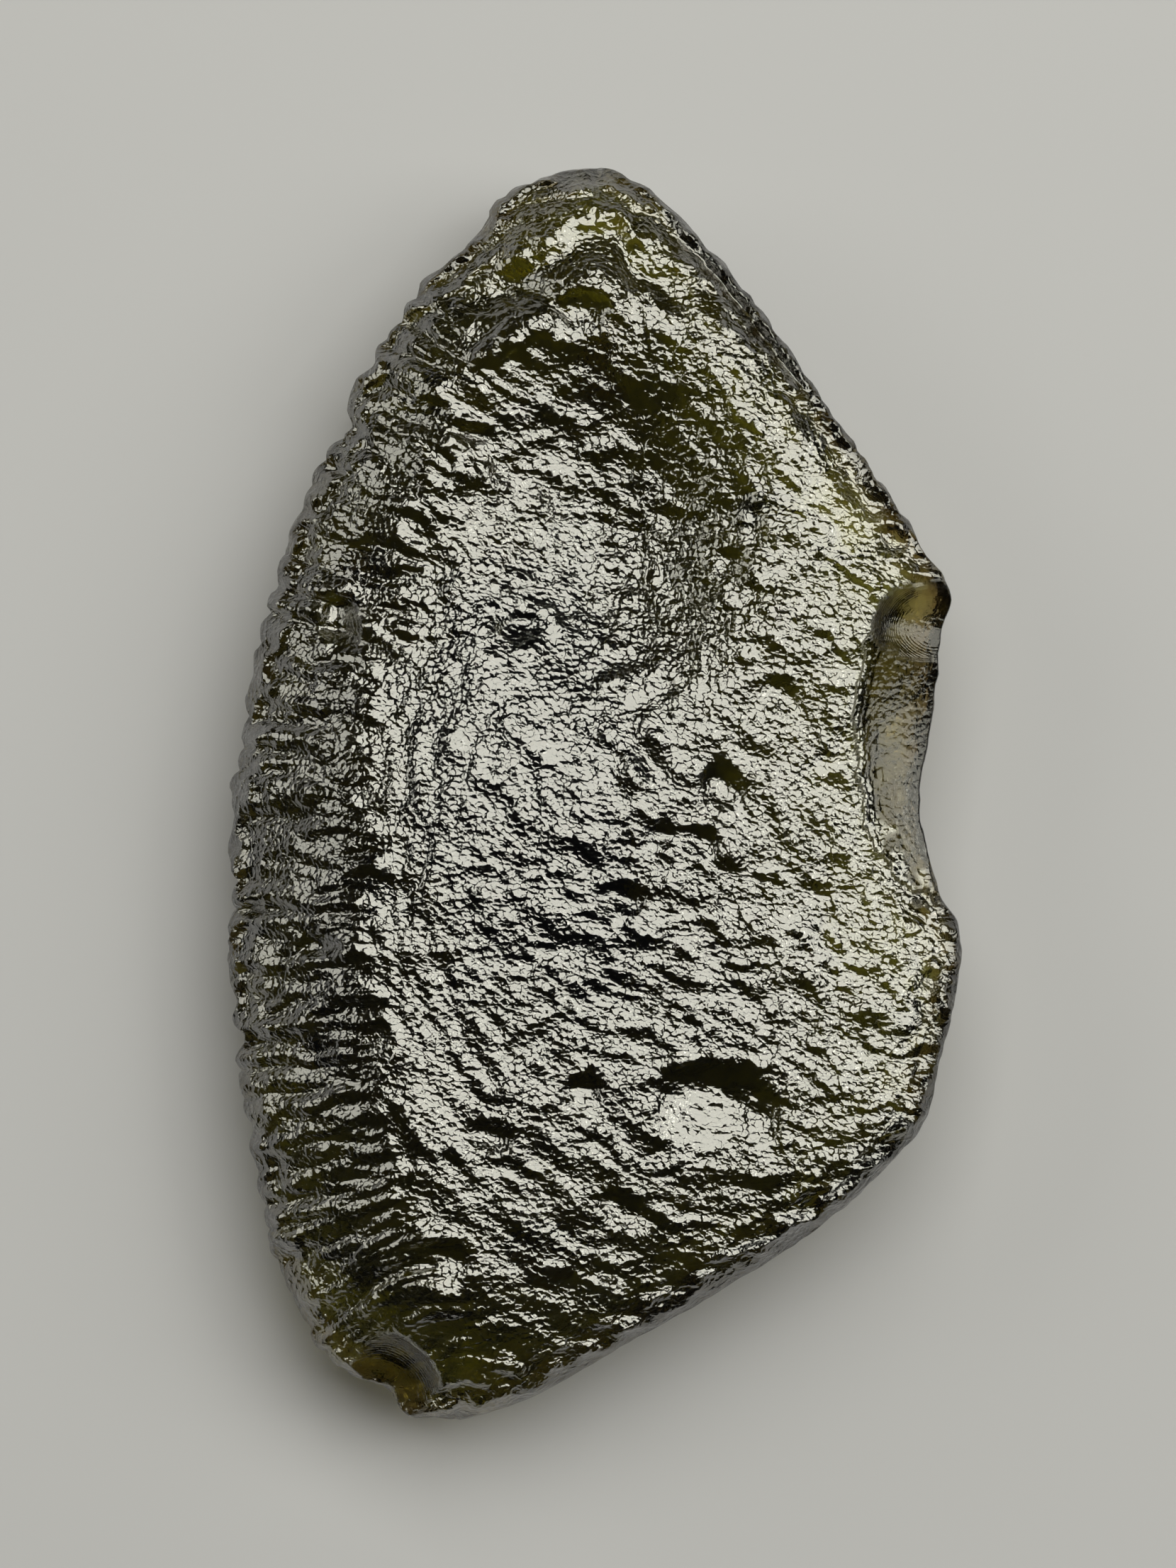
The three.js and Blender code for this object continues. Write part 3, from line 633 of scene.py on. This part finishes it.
class Skin:
    """Adds nodes to a material one after another and links them."""

    def __init__(self, material):
        material.use_nodes = True
        self.nodes = material.node_tree.nodes
        self.links = material.node_tree.links

    def put(self, kind, values=None, links=None):
        """A node with some input values, and links into it from other nodes' outputs."""
        node = self.nodes.new(kind)
        for name, value in (values or {}).items():
            node.inputs[name].default_value = value
        for name, output in (links or {}).items():
            self.links.new(output, node.inputs[name])
        return node

    def math(self, operation, first, second=0.0):
        """The result of one sum on numbers or outputs."""
        node = self.nodes.new("ShaderNodeMath")
        node.operation = operation
        for socket, value in zip(node.inputs, (first, second)):
            if isinstance(value, (int, float)):
                socket.default_value = value
            else:
                self.links.new(value, socket)
        return node.outputs["Value"]

    def vector(self, operation, first, second):
        """The result of one sum on vectors or outputs."""
        node = self.nodes.new("ShaderNodeVectorMath")
        node.operation = operation
        for socket, value in zip(node.inputs, (first, second)):
            if isinstance(value, tuple):
                socket.default_value = value
            else:
                self.links.new(value, socket)
        return node.outputs["Vector"]

    def spread(self, value, low, high, to_low, to_high):
        """A value's range from low to high, brought to another range and held there."""
        node = self.put("ShaderNodeMapRange", links={"Value": value})
        for name, number in (("From Min", low), ("From Max", high), ("To Min", to_low), ("To Max", to_high)):
            node.inputs[name].default_value = number
        return node.outputs["Result"]

    def attribute(self, name):
        """A number that the mesh carries at its points."""
        node = self.nodes.new("ShaderNodeAttribute")
        node.attribute_name = name
        return node.outputs["Fac"]


def grain_height(skin, place, clumps, rough_share):
    """Height of the finest etching, in grain heights: a bowl in every cell of a pattern with wavering
    borders, tilted towards +Y, with finer noise on it, and deeper in some places than in others."""
    noise = skin.put("ShaderNodeTexNoise", {"Scale": GRAIN["noise"], "Detail": 1.0}, {"Vector": place})
    moved = skin.vector("SUBTRACT", noise.outputs["Color"], (0.5, 0.5, 0.5))
    moved = skin.vector("ADD", place, skin.vector("MULTIPLY", moved, (GRAIN["waver"],) * 3))
    stretched = skin.vector("MULTIPLY", moved, GRAIN["cells"])
    cells = skin.put("ShaderNodeTexVoronoi", {"Scale": 1.0}, {"Vector": stretched})
    in_cell = skin.vector("SUBTRACT", stretched, cells.outputs["Position"])
    up = skin.put("ShaderNodeSeparateXYZ", links={"Vector": in_cell}).outputs["Y"]
    bowls = skin.math("MULTIPLY", cells.outputs["Distance"], cells.outputs["Distance"])
    etched = skin.math("SUBTRACT", bowls, skin.math("MULTIPLY", up, GRAIN["tilt"]))
    etched = skin.math("ADD", etched, skin.math("MULTIPLY", noise.outputs["Fac"], GRAIN["noise_height"]))
    depth = skin.math("MULTIPLY", rough_share, skin.spread(clumps, *CLUMP_RANGE, *GRAIN["depth"]))
    return skin.math("MULTIPLY", etched, depth)


def shell_line_height(skin, shell, clumps):
    """Fine curved lines in the chips, in grain heights: a sine wave out from each chip's middle."""
    sway = skin.math("MULTIPLY", clumps, SHELL_SWAY)
    lines = skin.math("SINE", skin.math("ADD", skin.math("MULTIPLY", shell, SHELL_LINES), sway))
    return skin.math("MULTIPLY", lines, skin.spread(shell, 0.0, 0.1, 0.0, SHELL_LINE_HEIGHT))


def stain(skin, settings, edge, clumps, smooth):
    """The colour that the skin gives the light: clear, and brown in patches by the edges and in chips."""
    wander = skin.math("ADD", edge, skin.spread(clumps, *CLUMP_RANGE, *STAIN["wander"]))
    by_edge = skin.spread(wander, *STAIN["edge"], STAIN["most"], 0.0)
    tint = skin.put("ShaderNodeMix")
    tint.data_type = "RGBA"
    colours = [socket for socket in tint.inputs if socket.type == "RGBA"]
    colours[0].default_value = (1.0, 1.0, 1.0, 1.0)
    colours[1].default_value = (*settings.stain_colour, 1.0)
    in_chip = skin.spread(smooth, *CHIPPED, 0.0, STAIN["chip"])
    skin.links.new(skin.math("MAXIMUM", by_edge, in_chip), tint.inputs[0])
    return [socket for socket in tint.outputs if socket.type == "RGBA"][0]


def glass_material(settings):
    """Bottle-green natural glass. Light goes through it, and a plain absorption colours it by its depth. Its
    glossy skin is etched to fine grains. It is smoother in the bubbles and the chips, the chips have fine
    curved lines, and the edges and the chips are stained brown."""
    material = bpy.data.materials.new("moldavite_glass")
    skin = Skin(material)
    shader = skin.nodes["Principled BSDF"]
    for name, value in {
        "Transmission Weight": 1.0, "IOR": settings.glass_ior, "Coat Roughness": 0.05,
        "Coat IOR": settings.wet_ior,
    }.items():
        shader.inputs[name].default_value = value
    volume = skin.put("ShaderNodeVolumeAbsorption")
    volume.inputs["Color"].default_value = (*settings.glass_colour, 1.0)
    volume.inputs["Density"].default_value = settings.glass_density
    skin.links.new(volume.outputs["Volume"], skin.nodes["Material Output"].inputs["Volume"])

    millimetres = skin.put("ShaderNodeMapping", {"Scale": (1.0 / MM,) * 3})
    skin.links.new(skin.nodes.new("ShaderNodeTexCoord").outputs["Object"], millimetres.inputs["Vector"])
    place = millimetres.outputs["Vector"]
    smooth, edge, shell = (skin.attribute(name) for name in ("smooth", "edge", "shell"))
    rough_share = skin.spread(smooth, 0.0, 1.0, 1.0, SMOOTH_GRAIN)
    clumps = skin.put("ShaderNodeTexNoise", {"Scale": 0.9, "Detail": 2.0}, {"Vector": place}).outputs["Fac"]

    etched = grain_height(skin, place, clumps, rough_share)
    height = skin.math("ADD", etched, shell_line_height(skin, shell, clumps))
    bump = {"Strength": 1.0, "Distance": settings.grain_height}
    bump = skin.put("ShaderNodeBump", bump, {"Height": height})
    for normal in ("Normal", "Coat Normal"):
        skin.links.new(bump.outputs["Normal"], shader.inputs[normal])
    roughness = skin.spread(skin.math("MULTIPLY", clumps, rough_share), 0.05, 0.6, *ROUGHNESS)
    skin.links.new(roughness, shader.inputs["Roughness"])
    off_edge = skin.spread(edge, *GLOSS["edge"], GLOSS["least"], 1.0)
    glossy = skin.math("MULTIPLY", off_edge, skin.spread(smooth, *CHIPPED, 1.0, GLOSS["chip"]))
    skin.links.new(glossy, shader.inputs["Coat Weight"])
    skin.links.new(stain(skin, settings, edge, clumps, smooth), shader.inputs["Base Color"])
    return material


class MoldaviteSettings(bpy.types.PropertyGroup):
    """Sizes and colours of the stone."""

    rows: IntProperty(name="Rows", description="Rows of the net along the stone", default=328, min=72)
    front_columns: IntProperty(
        name="Front columns", description="Steps across the front", default=220, min=24,
    )
    back_columns: IntProperty(
        name="Back columns", description="Steps across the back", default=84, min=12,
    )
    glass_ior: FloatProperty(
        name="Refraction", description="Index of refraction of the glass", default=1.49,
    )
    glass_colour: FloatVectorProperty(
        name="Glass colour", description="Colour that the glass lets through", subtype="COLOR", size=3,
        default=(0.675, 0.66, 0.0), min=0.0, max=1.0,
    )
    glass_density: FloatProperty(
        name="Absorption", description="Absorption per metre", default=800.0, min=0.0,
    )
    wet_ior: FloatProperty(
        name="Gloss", description="Index of refraction of the glossy skin", default=2.2, min=1.0,
    )
    grain_height: FloatProperty(
        name="Grain height", description="Height of the finest etched grains", default=0.05 * MM,
        unit="LENGTH",
    )
    stain_colour: FloatVectorProperty(
        name="Stain colour", description="Brown stain along the edges", subtype="COLOR", size=3,
        default=(0.46, 0.30, 0.19), min=0.0, max=1.0,
    )


class StageSettings(bpy.types.PropertyGroup):
    """Floor, light and camera."""

    floor_colour: FloatVectorProperty(
        name="Floor colour", description="Colour of the floor", subtype="COLOR", size=3,
        default=(0.56, 0.56, 0.60), min=0.0, max=1.0,
    )
    light_colour: FloatVectorProperty(
        name="Light colour", description="Colour of the light above", subtype="COLOR", size=3,
        default=(1.0, 0.99, 0.86), min=0.0, max=1.0,
    )
    key_power: FloatProperty(
        name="Key light", description="Power of the soft light above", default=2.9, unit="POWER",
    )
    left_power: FloatProperty(
        name="Left light", description="Power of the light at the left", default=0.5, unit="POWER",
    )
    right_power: FloatProperty(
        name="Right light", description="Power of the light at the right", default=0.9, unit="POWER",
    )


class MOLDAVITE_OT_stone(bpy.types.Operator):
    """Make the stone in place of its plain solid"""

    bl_idname = "moldavite.stone"
    bl_label = "Make the stone"

    def execute(self, context):
        settings = context.scene.moldavite_stone
        mesh = stone_mesh("moldavite_stone", settings.rows, settings.front_columns, settings.back_columns)
        stone = bpy.data.objects.new("moldavite_stone", mesh)
        context.scene.collection.objects.link(stone)
        stone.data.materials.append(glass_material(settings))
        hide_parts("moldavite")
        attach(stone, "root")
        return {"FINISHED"}


def area_light(scene, name, place, size, power, colour):
    """A soft light that is turned to the stone."""
    light = bpy.data.lights.new(name, "AREA")
    light.shape = "RECTANGLE"
    light.size, light.size_y = size
    light.energy = power
    light.color = colour
    lamp = bpy.data.objects.new(name, light)
    scene.collection.objects.link(lamp)
    lamp.location = place
    lamp.rotation_euler = (-Vector(place)).to_track_quat("-Z", "Y").to_euler()


def paper_floor(scene, colour):
    """A flat square floor of matt paper."""
    mesh = bpy.data.meshes.new("floor")
    corners = [(x * FLOOR_HALF, y * FLOOR_HALF, 0.0) for x, y in ((-1, -1), (1, -1), (1, 1), (-1, 1))]
    mesh.from_pydata(corners, [], [(0, 1, 2, 3)])
    floor = bpy.data.objects.new("floor", mesh)
    scene.collection.objects.link(floor)
    paper = bpy.data.materials.new("floor_paper")
    paper.use_nodes = True
    shader = paper.node_tree.nodes["Principled BSDF"]
    shader.inputs["Base Color"].default_value = (*colour, 1.0)
    shader.inputs["Roughness"].default_value = 0.9
    shader.inputs["Specular IOR Level"].default_value = 0.2
    mesh.materials.append(paper)
    return floor


def dim_world(scene):
    """A faint even light from all round."""
    world = bpy.data.worlds.new("studio")
    world.use_nodes = True
    background = world.node_tree.nodes["Background"]
    background.inputs["Color"].default_value = (1.0, 1.0, 1.0, 1.0)
    background.inputs["Strength"].default_value = WORLD_STRENGTH
    scene.world = world


def camera_above(scene):
    """A camera that looks straight down, with a lens that takes in the view's height at the outline."""
    camera_data = bpy.data.cameras.new("camera")
    camera_data.sensor_fit = "VERTICAL"
    camera_data.sensor_height = SENSOR
    camera_data.lens = SENSOR * CAMERA_DISTANCE / (VIEW_HEIGHT / PIXELS_PER_MM * MM)
    camera = bpy.data.objects.new("camera", camera_data)
    x, y = (pixels / PIXELS_PER_MM * MM for pixels in VIEW_MIDDLE)
    camera.location = (x, y, CAMERA_DISTANCE + EDGE_HEIGHT * MM)
    scene.collection.objects.link(camera)
    scene.camera = camera


class MOLDAVITE_OT_stage(bpy.types.Operator):
    """Make the floor, the soft light and the camera"""

    bl_idname = "moldavite.stage"
    bl_label = "Make the stage"

    def execute(self, context):
        settings = context.scene.moldavite_stage
        scene = context.scene
        floor = paper_floor(scene, settings.floor_colour)
        for name, place, size in LIGHTS:
            area_light(scene, name, place, size, getattr(settings, name + "_power"), settings.light_colour)
        dim_world(scene)
        camera_above(scene)
        scene.view_settings.view_transform = "Standard"
        scene.cycles.use_light_tree = False
        return {"FINISHED"}


class MOLDAVITE_PT_panel(bpy.types.Panel):
    """The stone and its stage"""

    bl_idname = "MOLDAVITE_PT_panel"
    bl_label = "Moldavite"
    bl_space_type = "VIEW_3D"
    bl_region_type = "UI"
    bl_category = "Moldavite"

    def draw(self, context):
        for group in (context.scene.moldavite_stone, context.scene.moldavite_stage):
            for name in group.__annotations__:
                self.layout.prop(group, name)
        for operator in OPERATORS:
            self.layout.operator(operator.bl_idname)


SETTINGS = (MoldaviteSettings, StageSettings)
OPERATORS = (MOLDAVITE_OT_stone, MOLDAVITE_OT_stage)
CLASSES = (*SETTINGS, *OPERATORS, MOLDAVITE_PT_panel)


def register():
    for cls in CLASSES:
        bpy.utils.register_class(cls)
    bpy.types.Scene.moldavite_stone = PointerProperty(type=MoldaviteSettings)
    bpy.types.Scene.moldavite_stage = PointerProperty(type=StageSettings)


def unregister():
    del bpy.types.Scene.moldavite_stage
    del bpy.types.Scene.moldavite_stone
    for cls in reversed(CLASSES):
        bpy.utils.unregister_class(cls)


def main():
    register()
    bpy.ops.moldavite.stone()
    bpy.ops.moldavite.stage()


if __name__ == "__main__":
    main()
